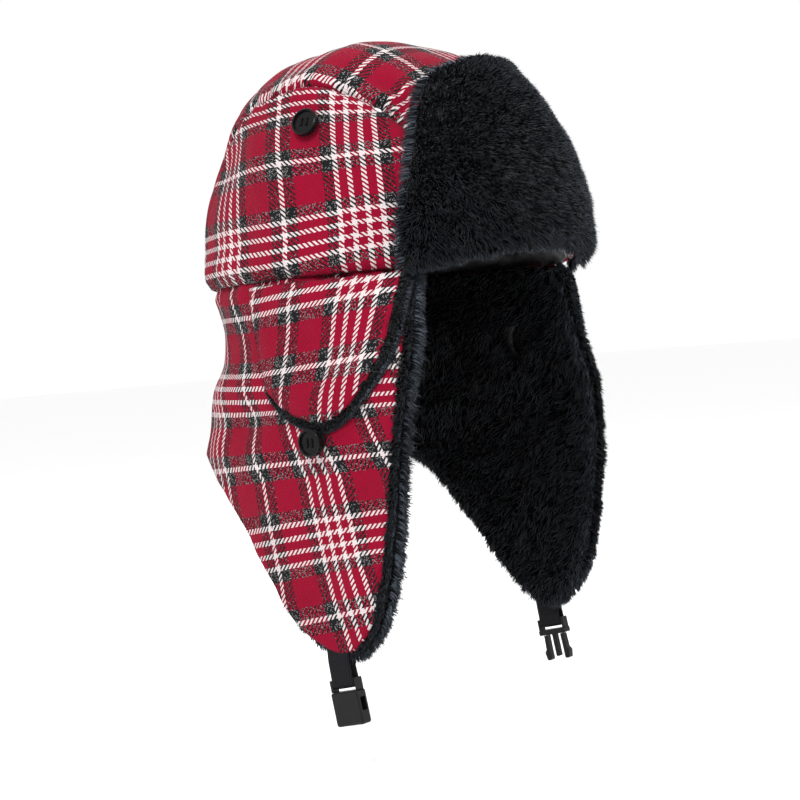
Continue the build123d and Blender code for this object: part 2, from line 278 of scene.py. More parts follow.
def within(points, ring):
    """Whether flat points lie inside a closed outline."""
    nxt = np.roll(ring, -1, axis=0)
    inside = np.zeros(len(points), bool)
    for a, b in zip(ring, nxt):
        if a[1] == b[1]:
            continue
        crosses = (a[1] > points[:, 1]) != (b[1] > points[:, 1])
        at = a[0] + (b[0] - a[0]) * (points[:, 1] - a[1]) / (b[1] - a[1])
        inside ^= crosses & (points[:, 0] < at)
    return inside


def patch(outline, step, holes=()):
    """Even triangles inside an outline: points in the outline's plane and faces."""
    border, *inner_rings = [resample(np.vstack([ring, ring[:1]]), step)[:-1] for ring in (outline, *holes)]
    clear = 0.55 * step
    low, high = border.min(0), border.max(0)
    row_gap = 0.87 * step
    rows = np.arange(low[1] + step / 2, high[1], row_gap)
    inside = []
    for k, v in enumerate(rows):
        u = np.arange(low[0] + (k % 2) * step / 2, high[0], step)
        inside.append(np.stack([u, np.full(len(u), v)], 1))
    inside = np.vstack(inside)
    keep = within(inside, border) & (edge_distance(inside, border) > clear)
    for ring in inner_rings:
        keep &= ~within(inside, ring) & (edge_distance(inside, ring) > clear)
    points = np.vstack([border, *inner_rings, inside[keep]])
    loops, start = [], 0
    for ring in (border, *inner_rings):
        loops.append(list(range(start, start + len(ring))))
        start += len(ring)
    edges = [(loop[i], loop[(i + 1) % len(loop)]) for loop in loops for i in range(len(loop))]
    got = delaunay_2d_cdt([Vector(q) for q in points], edges, [], 0, 1e-6)
    flat = np.array([tuple(v) for v in got[0]])
    faces = np.array([f for f in got[2] if len(f) == 3])
    centre = flat[faces].mean(1)
    solid = within(centre, border)
    for ring in inner_rings:
        solid &= ~within(centre, ring)
    return flat, faces[solid]


def grid_faces(rows, columns, wrap=False):
    """Quads of a grid whose points are stored row by row."""
    r, c = np.meshgrid(np.arange(rows - 1), np.arange(columns if wrap else columns - 1), indexing="ij")
    here, below = r.ravel() * columns, (r.ravel() + 1) * columns
    c = c.ravel()
    nxt = (c + 1) % columns
    return np.stack([here + c, here + nxt, below + nxt, below + c], 1)


def edge_distance(points, outline):
    """Distance of flat points from an outline, taken at points 1.5 mm apart along it."""
    ring = resample(np.vstack([outline, outline[:1]]), 1.5)
    return np.sqrt(((points[:, None, :] - ring[None]) ** 2).sum(2)).min(1)


# ---------------------------------------------------------------- fur
def scatter(p, faces, count, seed):
    """Random points on triangles or quads, by area, with their smooth normals."""
    draw = np.random.default_rng(seed)
    tris = faces if faces.shape[1] == 3 else halves(faces)
    n = vertex_normals(p, tris)
    first, second, third = p[tris[:, 0]], p[tris[:, 1]], p[tris[:, 2]]
    area = np.linalg.norm(np.cross(second - first, third - first), axis=1)
    pick = draw.choice(len(tris), count, p=area / area.sum())
    u, v = draw.random(count), draw.random(count)
    flip = u + v > 1
    u[flip], v[flip] = 1 - u[flip], 1 - v[flip]
    w = np.stack([1 - u - v, u, v], 1)
    roots = (p[tris[pick]] * w[..., None]).sum(1)
    normals = (n[tris[pick]] * w[..., None]).sum(1)
    return roots, unit(normals)


def hairs(name, roots, normals, length, width, lay, spread, seed):
    """Fur of thin tapered blades. lay is the way the pile leans; large and small clumps lean alike."""
    draw = np.random.default_rng(seed)
    count = len(roots)
    large_clump, small_clump = 13.0, 4.5
    tangle = np.stack([waves(roots, seed + k, large_clump) for k in range(3)], 1)
    fine = np.stack([waves(roots, seed + 9 + k, small_clump) for k in range(3)], 1)
    lean = np.array(lay) + 0.26 * tangle + 0.14 * fine + draw.normal(0, spread, (count, 3))
    lean -= normals * (lean * normals).sum(1, keepdims=True)
    first = unit(normals + 0.45 * lean)
    second = unit(normals * 0.75 + lean)
    uneven = 0.84 + 0.1 * waves(roots, seed + 30, 17.0) + draw.normal(0, 0.09, count)
    size = (length * uneven)[:, None]
    across = unit(np.cross(first, draw.normal(size=(count, 3)))) * width / 2
    middle = roots + first * size * 0.55
    tip = middle + second * size * 0.5
    p = np.stack([roots - across, roots + across, middle - across * 0.8, middle + across * 0.8, tip], 1)
    base = np.arange(count)[:, None] * 5
    tris = np.vstack([base + [0, 1, 3], base + [0, 3, 2], base + [2, 3, 4]])
    obj = make_object(name, p.reshape(-1, 3), [tris])
    # along runs from 0 at the root to 1 at the tip; the fur material paints shade at the roots by it
    along = np.tile(np.array([0.0, 0.0, 0.6, 0.6, 1.0]), count)
    shade = np.repeat(draw.random(count), 5)
    for label, values in (("along", along), ("shade", shade)):
        obj.data.attributes.new(label, "FLOAT", "POINT").data.foreach_set("value", values.astype(np.float32))
    spread_out = 0.55 * (p - p.mean(1, keepdims=True)) / length.max()
    shading = unit(normals[:, None, :] + spread_out + 0.25 * lean[:, None, :]).reshape(-1, 3)
    obj.data.normals_split_custom_set_from_vertices([tuple(v) for v in shading])
    return obj


def coat(name, body, surfaces, flip, width, lay, spread, seed):
    """Hairs all over a body. Each surface gives its faces, how many hairs it has and how long they are."""
    roots, normals, lengths = [], [], []
    for k, (tris, count, length) in enumerate(surfaces):
        r, n = scatter(body, turned(tris, flip), count, seed + k)
        roots.append(r)
        normals.append(n)
        lengths.append(np.full(count, length))
    roots, normals, lengths = np.vstack(roots), np.vstack(normals), np.concatenate(lengths)
    return hairs(name, roots, normals, lengths, width, lay, spread, seed + 10)


# ---------------------------------------------------------------- materials
class Nodes:
    """Short names for building a node tree."""

    def __init__(self, name):
        self.material = bpy.data.materials.new(name)
        self.material.use_nodes = True
        self.tree = self.material.node_tree
        self.shader = self.tree.nodes["Principled BSDF"]

    def add(self, kind, **values):
        node = self.tree.nodes.new(kind)
        for key, value in values.items():
            setattr(node, key, value)
        return node

    def link(self, source, target):
        self.tree.links.new(source, target)

    def math(self, operation, a, b=None):
        node = self.add("ShaderNodeMath", operation=operation)
        for socket, value in zip(node.inputs, (a, b)):
            if value is None:
                continue
            if isinstance(value, (int, float)):
                socket.default_value = value
            else:
                self.link(value, socket)
        return node.outputs[0]

    def times(self, a, b):
        return self.math("MULTIPLY", a, b)

    def plus(self, a, b):
        return self.math("ADD", a, b)

    def apart(self, a, b):
        return self.math("ABSOLUTE", self.math("SUBTRACT", a, b))

    def humps(self, coordinate, rate):
        return self.math("ABSOLUTE", self.math("SINE", self.times(coordinate, rate)))

    def mix(self, factor, a, b):
        node = self.add("ShaderNodeMix", data_type="RGBA")
        for socket, value in ((node.inputs[0], factor), (node.inputs[6], a), (node.inputs[7], b)):
            if isinstance(value, (int, float)):
                socket.default_value = value
            elif isinstance(value, tuple):
                socket.default_value = (*value, 1)
            else:
                self.link(value, socket)
        return node.outputs[2]

    def noise(self, scale, detail=2.0, vector=None, output=0):
        node = self.add("ShaderNodeTexNoise")
        node.inputs["Scale"].default_value = scale
        node.inputs["Detail"].default_value = detail
        if vector is None:
            vector = self.add("ShaderNodeTexCoord").outputs["Object"]
        self.link(vector, node.inputs["Vector"])
        return node.outputs[output]

    def span(self, value, low, high, start=0.0, end=1.0, **values):
        node = self.add("ShaderNodeMapRange", **values)
        self.link(value, node.inputs[0])
        for socket, bound in zip(node.inputs[1:5], (low, high, start, end)):
            socket.default_value = bound
        return node.outputs[0]

    def steps(self, factor, stops):
        node = self.add("ShaderNodeValToRGB")
        node.color_ramp.interpolation = "CONSTANT"
        while len(node.color_ramp.elements) < len(stops):
            node.color_ramp.elements.new(0.5)
        for element, (at, colour) in zip(node.color_ramp.elements, stops):
            element.position = at
            element.color = (*colour, 1)
        self.link(factor, node.inputs[0])
        return node.outputs[0]

    def paint(self, colour):
        self.link(colour, self.shader.inputs["Base Color"])

    def relief(self, height, strength, distance):
        node = self.add("ShaderNodeBump")
        node.inputs["Strength"].default_value = strength
        node.inputs["Distance"].default_value = distance
        self.link(height, node.inputs["Height"])
        self.link(node.outputs[0], self.shader.inputs["Normal"])

    def finish(self, **values):
        for key, value in values.items():
            socket = self.shader.inputs[key.replace("_", " ")]
            socket.default_value = (*value, 1) if isinstance(value, tuple) else value
        return self.material


CRIMSON = (0.21, 0.0025, 0.018)
CHARCOAL = (0.008, 0.009, 0.010)
IVORY = (0.56, 0.50, 0.50)
FLECK = (0.27, 0.25, 0.25)
BLACK_PLASTIC = (0.004, 0.004, 0.0045)


def plaid_material():
    """Wool twill: one stripe sequence in warp and weft, red, charcoal and white."""
    m = Nodes("wool_plaid")
    yarns = 120.0
    stripe_starts = (0.0, 0.052, 0.116, 0.220, 0.284, 0.426, 0.812, 0.966)
    stripe_colours = (CRIMSON, IVORY, CRIMSON, IVORY, CHARCOAL, CRIMSON, CHARCOAL, IVORY)
    sequence = list(zip(stripe_starts, stripe_colours))

    def stripes(coordinate):
        """The sequence runs out and back over each repeat."""
        folded = m.math("PINGPONG", coordinate, 0.5)
        return m.steps(m.times(folded, 2.0), sequence)

    uv = m.add("ShaderNodeUVMap", uv_map="cloth").outputs[0]
    wobble = m.add("ShaderNodeVectorMath", operation="SCALE")
    m.link(m.noise(26, 3, uv, output=1), wobble.inputs[0])
    wobble.inputs[3].default_value = 0.009
    moved = m.add("ShaderNodeVectorMath", operation="ADD")
    m.link(uv, moved.inputs[0])
    m.link(wobble.outputs[0], moved.inputs[1])
    split = m.add("ShaderNodeSeparateXYZ")
    m.link(moved.outputs[0], split.inputs[0])
    u, v = split.outputs[0], split.outputs[1]
    warp, weft = stripes(u), stripes(v)

    # Twill: each yarn shows for two yarns out of four, one step further in each row
    along_u, along_v = m.times(u, yarns), m.times(v, yarns)
    diagonal = m.math("FRACT", m.times(m.plus(along_u, along_v), 0.25))
    distance = m.apart(diagonal, 0.5)
    over = m.span(distance, 0.21, 0.29, interpolation_type="SMOOTHSTEP")

    # Red on charcoal is mottled yarn by yarn, white stays crisp
    cells = m.add("ShaderNodeTexWhiteNoise", noise_dimensions="2D")
    yarn_cell = m.add("ShaderNodeCombineXYZ")
    m.link(m.math("FLOOR", m.times(along_u, 1.5)), yarn_cell.inputs[0])
    m.link(m.math("FLOOR", m.times(along_v, 1.5)), yarn_cell.inputs[1])
    m.link(yarn_cell.outputs[0], cells.inputs[0])
    pale = m.add("ShaderNodeSeparateColor")
    m.link(m.mix(0.5, warp, weft), pale.inputs[0])
    muted = m.math("LESS_THAN", pale.outputs[2], 0.2)
    shaken = m.plus(m.times(over, 0.45), m.times(cells.outputs[0], 0.55))
    mottled = m.math("GREATER_THAN", shaken, 0.5)
    pick = m.add("ShaderNodeMix", data_type="FLOAT")
    m.link(muted, pick.inputs[0])
    m.link(over, pick.inputs[2])
    m.link(mottled, pick.inputs[3])
    woven = m.mix(pick.outputs[0], warp, weft)

    # Pale flecks in the charcoal
    fleck = m.math("GREATER_THAN", cells.outputs[0], 0.86)
    hsv = m.add("ShaderNodeSeparateColor", mode="HSV")
    m.link(woven, hsv.inputs[0])
    dark = m.math("LESS_THAN", hsv.outputs[2], 0.09)
    flecked = m.mix(m.times(m.times(fleck, dark), 0.62), woven, FLECK)

    # Uneven dye and fuzz
    fuzz = m.noise(2600, 2)
    patchy = m.noise(34, 3)
    tinted = m.add("ShaderNodeHueSaturation")
    mixed = m.plus(m.times(fuzz, 0.7), m.times(patchy, 0.3))
    m.link(m.span(mixed, 0.3, 0.7, 0.72, 1.16), tinted.inputs["Value"])
    m.link(flecked, tinted.inputs["Color"])
    m.paint(tinted.outputs[0])

    # Round yarns and the twill's diagonal ribs
    round_u, round_v = m.humps(along_u, math.pi), m.humps(along_v, math.pi)
    yarn = m.plus(m.times(round_u, m.math("SUBTRACT", 1.0, over)), m.times(round_v, over))
    rib = m.times(m.math("SUBTRACT", 0.25, m.apart(distance, 0.25)), 3.0)
    m.relief(m.plus(m.plus(yarn, rib), m.times(fuzz, 1.2)), 0.55, 0.00035)
    return m.finish(Roughness=0.92, Sheen_Weight=0.03, Sheen_Roughness=0.5, Sheen_Tint=(1.0, 0.85, 0.87),
                    Specular_IOR_Level=0.04)


def fur_material(name, shaded_root, tip, sheen):
    """Pile: dark at the roots with painted shade, cooler and lighter towards the tips."""
    m = Nodes(name)
    along = m.add("ShaderNodeAttribute", attribute_name="along").outputs["Fac"]
    shade = m.add("ShaderNodeAttribute", attribute_name="shade").outputs["Fac"]
    hair_by_hair = m.plus(0.25, m.times(shade, 0.75))
    # Painted shade: each hair is coloured darker at its root and lighter towards its tip
    m.paint(m.mix(m.times(m.math("POWER", along, 1.6), hair_by_hair), shaded_root, tip))
    return m.finish(Roughness=0.55, Sheen_Weight=sheen, Sheen_Roughness=0.35, Sheen_Tint=(0.55, 0.66, 0.82),
                    Specular_IOR_Level=0.24)


def pelt_material(name, colour):
    """Backing under the pile: near black, mottled and finely rough."""
    m = Nodes(name)
    m.paint(m.mix(m.noise(420, 4), tuple(c * 0.4 for c in colour), colour))
    m.relief(m.noise(900, 3), 1.0, 0.0012)
    return m.finish(Roughness=0.85, Sheen_Weight=0.25, Sheen_Roughness=0.4, Specular_IOR_Level=0.2)


def satin_material():
    """Black quilted satin: fine weave and soft sheen."""
    m = Nodes("quilted_lining")
    wave = m.add("ShaderNodeTexWave", wave_type="BANDS", bands_direction="DIAGONAL")
    wave.inputs["Scale"].default_value = 900
    m.link(m.add("ShaderNodeTexCoord").outputs["Object"], wave.inputs["Vector"])
    m.paint(m.mix(m.noise(60, 3), (0.008, 0.008, 0.010), (0.018, 0.018, 0.022)))
    m.relief(wave.outputs[1], 0.25, 0.0002)
    return m.finish(Roughness=0.42, Sheen_Weight=0.2, Specular_IOR_Level=0.5)


def plastic_material(name, colour, rough, grain):
    """Moulded black plastic with faint grain and rubbed patches."""
    m = Nodes(name)
    m.paint(m.mix(m.noise(140, 4), tuple(c * 0.7 for c in colour), tuple(c * 1.5 for c in colour)))
    m.link(m.span(m.noise(260, 5), 0.0, 1.0, rough * 0.8, rough * 1.35), m.shader.inputs["Roughness"])
    m.relief(m.noise(2200, 2), grain, 0.0001)
    return m.finish(Specular_IOR_Level=0.14)


def webbing_material(name, pitch):
    """Black webbing or thread: rows of small ribs, pitch apart across and a little closer along."""
    m = Nodes(name)
    split = m.add("ShaderNodeSeparateXYZ")
    m.link(m.add("ShaderNodeTexCoord").outputs["Object"], split.inputs[0])
    ribs = m.humps(split.outputs[1], math.pi / pitch)
    rows = m.humps(split.outputs[2], math.pi / (pitch * 0.8))
    height = m.times(ribs, m.plus(0.4, rows))
    # Painted shade: the grooves between the ribs are coloured darker, the rib tops lighter
    m.paint(m.mix(height, (0.003, 0.003, 0.0035), (0.012, 0.012, 0.014)))
    m.relief(height, 0.8, 0.0004)
    return m.finish(Roughness=0.6, Specular_IOR_Level=0.06)


def wadding_material():
    """White polyester wadding."""
    m = Nodes("wadding")
    m.paint(m.mix(m.noise(300, 5), (0.6, 0.6, 0.58), (0.85, 0.85, 0.83)))
    m.relief(m.noise(700, 4), 1.0, 0.001)
    return m.finish(Roughness=0.95)


def floor_material():
    """Plain pale floor."""
    m = Nodes("floor")
    m.paint(m.mix(m.noise(3, 2), (0.955, 0.955, 0.955), (0.965, 0.965, 0.965)))
    return m.finish(Roughness=0.8)


plaid = plaid_material()
# Fur and fleece: painted shade colour at the roots, the tip colour, then the sheen weight
fur = fur_material("fur", (0.0016, 0.0018, 0.0023), (0.013, 0.016, 0.022), 0.12)
fleece = fur_material("fleece", (0.004, 0.004, 0.0045), (0.036, 0.038, 0.042), 0.12)
pelt = pelt_material("fur_pelt", (0.008, 0.009, 0.011))
satin = satin_material()
glossy = plastic_material("button", BLACK_PLASTIC, 0.15, 0.15)
moulded = plastic_material("buckle_plastic", BLACK_PLASTIC, 0.30, 0.3)
webbing = webbing_material("webbing", 0.0011)
thread = webbing_material("thread", 0.0005)
wadding = wadding_material()


def dress(obj, material):
    """Give a piece its material, in a single slot."""
    obj.data.materials.clear()
    obj.data.materials.append(material)
    return obj


# ---------------------------------------------------------------- crown
def seam_x(y):
    """Plan line of the seam between the right side panel and the centre strip."""
    return SEAM_RADIUS - STRIP_HALF - np.sqrt(SEAM_RADIUS**2 - np.asarray(y) ** 2)


def brow(y):
    """Height of the crown's lower edge, which arches up over the brow."""
    reach = FRONT + BROW_START
    radius = (reach**2 + BROW_RISE**2) / (2 * BROW_RISE)
    return radius - np.sqrt(radius**2 - np.clip(BROW_START - y, 0, reach) ** 2)


# The crown's profile from rim to top: share of its plan, height, and length along it
turn = np.linspace(0, math.pi / 2, 4000)
profile_rho = np.clip(np.cos(turn), 0, 1) ** (2 / SQUARENESS)
profile_z = HEIGHT * np.sin(turn) ** (2 / SQUARENESS)
mean_reach = (SIDE + BACK) / 2
profile_steps = np.hypot(np.diff(mean_reach * profile_rho), np.diff(profile_z))
profile_run = np.concatenate([[0], np.cumsum(profile_steps)])


def dome_point(phi, run):
    """Crown point at plan angle phi, 0 on the right and positive towards the back, run along from the rim."""
    rho = np.interp(run, profile_run, profile_rho)
    z = np.interp(run, profile_run, profile_z)
    return np.stack([-SIDE * rho * np.cos(phi), crown_reach(phi) * rho * np.sin(phi), z], 1)


def sag(p):
    """How far the crown falls short of its smooth shape: towards the front flap, and high at the back."""
    fore = 8.0 * smooth((-p[:, 1] - 10) / 60) * smooth((p[:, 2] - 56) / 52)
    rear = 5.0 * bump(p[:, 2] - 76, 48) * smooth((p[:, 1] - 15) / 50)
    return fore + rear


def far_from(p, line):
    """Distance of points from a dense polyline in space."""
    best = np.full(len(p), 1e9)
    for q in line:
        best = np.minimum(best, ((p - q) ** 2).sum(1))
    return np.sqrt(best)


def seam_line():
    """Points along the seam between the right side panel and the centre strip."""
    y = np.linspace(-95, 95, 190)
    x = seam_x(y)
    rho = np.hypot(x / SIDE, y / crown_reach(y))
    x, y, rho = x[rho < 1], y[rho < 1], rho[rho < 1]
    return np.stack([x, y, HEIGHT * (1 - rho**SQUARENESS) ** (1 / SQUARENESS)], 1)


right_seam = seam_line()
left_seam = right_seam * [-1, 1, 1]


def crown_relief(p, seam_distance):
    """How far the crown's cloth stands off its smooth shape."""
    seam = 1.1 * bump(seam_distance - 8, 9) - 2.6 * bump(seam_distance, 3.4)
    along_seam = np.arctan2(p[:, 1], 60)
    seam_puckers = 0.55 * np.sin(along_seam * 46 + np.sin(along_seam * 9)) * bump(seam_distance - 3, 9)

    low = p[:, 2] - brow(p[:, 1])
    rim_roll = 1.9 * bump(low - 9, 13) - 1.6 * bump(low, 5)
    around = np.arctan2(p[:, 1], -p[:, 0])
    rim_puckers = 0.45 * np.sin(around * 57 + 2 * np.sin(around * 7)) * bump(low - 4, 16)

    on_right = np.abs(p[:, 0:1]) * [-1, 0, 0] + p * [0, 1, 1]
    corner = on_right - PANEL_CORNER
    away = np.linalg.norm(corner, axis=1)
    spoke = np.arctan2(corner[:, 2], corner[:, 1])
    corner_folds = 1.5 * np.sin(spoke * 7 + 0.6) * bump(away - 14, 26) - 2.2 * bump(away, 12)
    strength = np.where(p[:, 0] < 0, 1.0, 0.8)
    button_dent = 0.9 * bump(np.linalg.norm(on_right - CROWN_BUTTON, axis=1), 13)

    dents = 0.9 * waves(p, 3, 70) + 0.35 * waves(p, 4, 26)
    return (seam + seam_puckers + rim_roll + rim_puckers + strength * corner_folds
            - button_dent + dents - sag(p))


def crown_cloth(p):
    """Cloth coordinates of the right side panel: stripes lean back towards the top, and dip in front."""
    z = p[:, 2]
    lean = 8.0 * (np.clip(z - 12, 0, 120) / 67) ** 2
    y = np.where(p[:, 1] < 0, 1.03, 1) * p[:, 1] - lean
    arc = BACK * np.arcsin(np.clip(y / BACK, -0.999, 0.999)) + 6.3
    u = -0.5 - np.where(arc < 0, arc / 94, arc / 106)
    run = np.interp(z, profile_z, profile_run)
    tilt = (4.5 - 7.5 * (z - 20) / 73) * smooth((10 - p[:, 1]) / 75)
    v = np.interp(run - tilt, [-60, 18, 60.4, 97, 180], [-0.92, 0, 0.5, 1, 2])
    return np.stack([u, v], 1)


def side_panel():
    """Outer face of the right side panel: bisection finds where the seam crosses each upright line."""
    phi = np.linspace(-1.05, 1.05, 420)
    low, high = np.zeros(len(phi)), np.full(len(phi), profile_run[-1])
    for _ in range(40):
        middle = (low + high) / 2
        q = dome_point(phi, middle)
        outside = q[:, 0] < seam_x(q[:, 1])
        low, high = np.where(outside, middle, low), np.where(outside, high, middle)
    foot = np.interp(brow(crown_reach(phi) * np.sin(phi)), profile_z, profile_run)
    keep = low > foot + 0.3
    phi, seam_run, foot = phi[keep], low[keep], foot[keep]
    round_head = phi * ROUND
    below, above = np.stack([round_head, foot], 1), np.stack([round_head, seam_run], 1)
    flat, faces = patch(np.vstack([below, above[::-1][1:-1]]), 2.1)
    p = dome_point(flat[:, 0] / ROUND, flat[:, 1])
    uv = crown_cloth(p)
    p = p + crown_normal(p) * crown_relief(p, far_from(p, right_seam))[:, None]
    return p, faces, uv


def both_sides(build_one):
    """Run a builder for the right side, then for its mirror image on the left."""
    for name, flip in SIDES:
        build_one(name, flip)


panel_p, panel_faces, panel_uv = side_panel()


def add_side_panel(name, flip):
    """One side panel of the crown."""
    p = panel_p * flip
    obj = wool_piece(f"crown_side_panel_{name}", p, outward(p, panel_faces, INSIDE_CROWN), panel_uv)
    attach(obj, "crown")
    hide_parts(f"crown_side_panel_{name}")


both_sides(add_side_panel)


def ray_point(psi, theta):
    """Crown point in a direction: theta from the front rim over the top to the back, psi sideways."""
    d = np.stack([np.sin(psi), -np.cos(psi) * np.cos(theta), np.cos(psi) * np.sin(theta)], -1)
    flat = np.hypot(d[..., 0] / SIDE, d[..., 1] / crown_reach(d[..., 1]))
    size = (flat**SQUARENESS + (np.abs(d[..., 2]) / HEIGHT) ** SQUARENESS) ** (-1 / SQUARENESS)
    return d * size[..., None]


def centre_strip():
    """Outer face of the strip over the top, with cloth coordinates."""
    rows, columns = 190, 66
    across = np.linspace(-1, 1, columns)
    theta = np.tile(np.linspace(0, math.pi, rows)[:, None], (1, columns))
    for _ in range(12):
        low, high = np.zeros_like(theta), np.full_like(theta, 1.5)
        for _ in range(34):
            middle = (low + high) / 2
            q = ray_point(-middle, theta)
            inside = q[..., 0] > seam_x(q[..., 1])
            low, high = np.where(inside, middle, low), np.where(inside, high, middle)
        psi = low * across
        start = ray_point(psi[0], theta[0])
        lift = np.maximum(brow(start[:, 1]), 0) - start[:, 2]
        start_theta = theta[0] + lift / 120
        share = np.linspace(0, 1, rows)[:, None]
        theta = start_theta[None] * (1 - share) + math.pi * share
    p = ray_point(psi, theta).reshape(-1, 3)
    middle = ray_point(np.zeros(rows), theta[:, columns // 2])
    run = np.concatenate([[0], np.cumsum(np.linalg.norm(np.diff(middle, axis=0), axis=1))])
    run = np.tile(run[:, None], (1, columns)).ravel()
    uv = np.stack([0.18 - run / STRIP_REPEAT, (8 - p[:, 0]) / STRIP_REPEAT], 1)
    distance = np.minimum(far_from(p, right_seam), far_from(p, left_seam))
    p = p + crown_normal(p) * crown_relief(p, distance)[:, None]
    return p, outward(p, grid_faces(rows, columns), INSIDE_CROWN), uv


strip = wool_piece("crown_centre_strip", *centre_strip())
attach(strip, "crown")
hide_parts("crown_centre_strip")


def crown_inside(name, inset, thickness, material, quilt, tuck, raised):
    """A layer inside the crown: wadding, or the lining with its diamond quilting.

    tuck is how far its rim turns out to the wool, from 0 to 1, and raised lifts its lower edge.
    """
    rows, columns = 90, 240
    phi = np.tile(np.linspace(-math.pi, math.pi, columns, endpoint=False), rows)
    run = np.repeat(np.linspace(0, profile_run[-1] - 0.5, rows), columns)
    p = dome_point(phi, run)
    lower = np.maximum(brow(p[:, 1]), 0) * smooth(1 - p[:, 2] / 60)
    diamond = 32
    u, v = phi * ROUND / diamond, run / diamond
    valley = np.minimum(np.abs((u + v) % 1 - 0.5), np.abs((u - v) % 1 - 0.5))
    stitched = quilt * (smooth(valley / 0.22) - 1)
    at_rim = (inset - WOOL - 0.2) * bump(p[:, 2] - lower, 9) * tuck
    p = p - crown_normal(p) * (sag(p) + inset - stitched - at_rim)[:, None]
    p[:, 2] += lower + raised * smooth(1 - p[:, 2] / 60)
    faces = outward(p, grid_faces(rows, columns, wrap=True), INSIDE_CROWN)
    total, parts, _ = thicken(p, faces, thickness)
    obj = dress(make_object(name + "_layer", total, parts), material)
    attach(obj, "crown")
    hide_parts(name)


crown_inside("crown_wadding", 3.4, 1.8, wadding, quilt=0.0, tuck=0.0, raised=9.0)
crown_inside("crown_lining", 5.8, 1.3, satin, quilt=1.2, tuck=1.0, raised=0.3)


# ---------------------------------------------------------------- ear and neck flaps
def flap_y(w, z):
    """Fore-and-aft position of a point w along the flap, measured round the head from the side."""
    back = skirt_axes(z)[2]
    return np.where(w < 0, w * back / ROUND, back * np.sin(np.clip(w / ROUND, -1.5, math.pi / 2)))


def flap_w(y, z):
    """Distance round the head of a point at y, the inverse of flap_y."""
    back = skirt_axes(z)[2]
    return np.where(y < 0, y * ROUND / back, ROUND * np.arcsin(np.clip(y / back, -1, 1)))


def flap_point(w, z):
    """Right flap's outer face at w and height z."""
    side, front, _ = skirt_axes(z)
    y = flap_y(w, z)
    before = np.sqrt(np.maximum(1 - (y / front) ** 2, 0))
    return np.stack([-side * np.where(w < 0, before, np.cos(w / ROUND)), y, z], 1)


def flap_normal(p, faces):
    """Outward normals of a flap's surface."""
    return vertex_normals(p, outward(p, faces, INSIDE_FLAPS))


def flap_outline(border, hem=0.0):
    """Flap's outline round the head; border moves its front edge forwards, hem its lower edge up."""
    edge = spline([
        (-66 - border, -0.3), (-67.5 - border, -38), (-67 - border, -77), (-61 - border, -125),
        (-51 - border, -168), (-38 - border * 0.8, -190), (TIP_Y - border / 3, TIP_Z - border * 0.2),
        (5 - hem * 0.5, -182 + hem * 0.7), (30 - hem * 0.5, -150 + hem * 0.8),
        (57 - hem * 0.4, -116 + hem * 0.9), (84, -96 + hem), (104, -91 + hem),
    ], 8)
    w = flap_w(edge[:, 0], edge[:, 1])
    line = np.stack([w, edge[:, 1]], 1)
    line = line[line[:, 0] < BACK_END - 6]
    return np.vstack([line, [(BACK_END, -90.5 + hem), (BACK_END, -0.3)]])


def port_ring(radius):
    """Outline of the ear port."""
    a = np.linspace(0, 2 * math.pi, 48, endpoint=False)
    y, z = PORT_Y + radius * np.cos(a), PORT_Z + radius * np.sin(a)
    return np.stack([flap_w(y, z), z], 1)


def flap_cloth(w, z):
    """Cloth coordinates of the flap: stripes lean forwards towards the tip."""
    y = flap_y(w, z)
    kink = 4.0 * np.sin((z + 62) / 9.5) * bump(z + 76, 34) * smooth((y - 5) / 30)
    centre = np.interp(z, [-200, -178, -147, -106, -85, -55, 0], [-34, -30, -25, -20, -11, -2, 8])
    behind = smooth((w - 40) / 100)
    u = ((centre + kink) * (1 - behind) - 6 * behind - w) / FLAP_REPEAT
    tilt = 0.145 * np.clip((-61 - z) / 80, 0, 1.3)
    v = np.interp(z + tilt * (y - 19), [-230, -186, -144, -99, -61.5, 0], [2.02, 1.5, 1, 0.5, 0, -0.73])
    return np.stack([u, v], 1)


def flap_relief(p):
    """How far the flap's cloth stands off its smooth shape."""
    y, z = p[:, 1], p[:, 2]
    nape_bulge = 5.5 * bump(z + 82, 68) * smooth((y - 28) / 45)
    seam = 3.4 * bump(z, 7)
    along_seam = y / 19
    seam_puckers = 0.4 * np.sin(along_seam * 11 + 1.7 * np.sin(along_seam * 2)) * bump(z + 3, 20)
    nape_folds = 2.6 * np.sin((z + 58) / 8.5 + y / 60) * bump(z + 72, 36) * smooth((y - 8) / 35)
    cheek_folds = np.sin((z + y * 0.6) / 17) * bump(z + 140, 60)
    dents = waves(p, 11, 62) + 0.35 * waves(p, 12, 24)
    return nape_bulge - seam + seam_puckers + nape_folds + cheek_folds + dents


def hang(obj):
    """Bake the piece's placement into its mesh and read its points back in millimetres; nothing further is
    done with them.
    """
    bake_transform(obj)
    co = np.zeros(len(obj.data.vertices) * 3, np.float32)
    obj.data.vertices.foreach_get("co", co)
    co = co.reshape(-1, 3) / MM


flap_flat, flap_faces = patch(flap_outline(0), 2.3, [port_ring(PORT_R)])
flap_smooth = flap_point(flap_flat[:, 0], flap_flat[:, 1])
flap_uv = flap_cloth(flap_flat[:, 0], flap_flat[:, 1])
flap_p = flap_smooth + flap_normal(flap_smooth, flap_faces) * flap_relief(flap_smooth)[:, None]


def pile_body(flat, faces, edge, base, plump, reach):
    """Outer and inner faces of a soft slab behind the flap's wool, rounding together at the edge."""
    smooth_p = flap_point(flat[:, 0], flat[:, 1])
    n = flap_normal(smooth_p, faces)
    wave = flap_relief(smooth_p)
    full = rounding(edge, reach)
    outer = smooth_p + n * (wave + base - 1.2 * (1 - full))[:, None]
    inner = smooth_p + n * (wave + base - 1.3 - plump * full)[:, None]
    return outer, inner


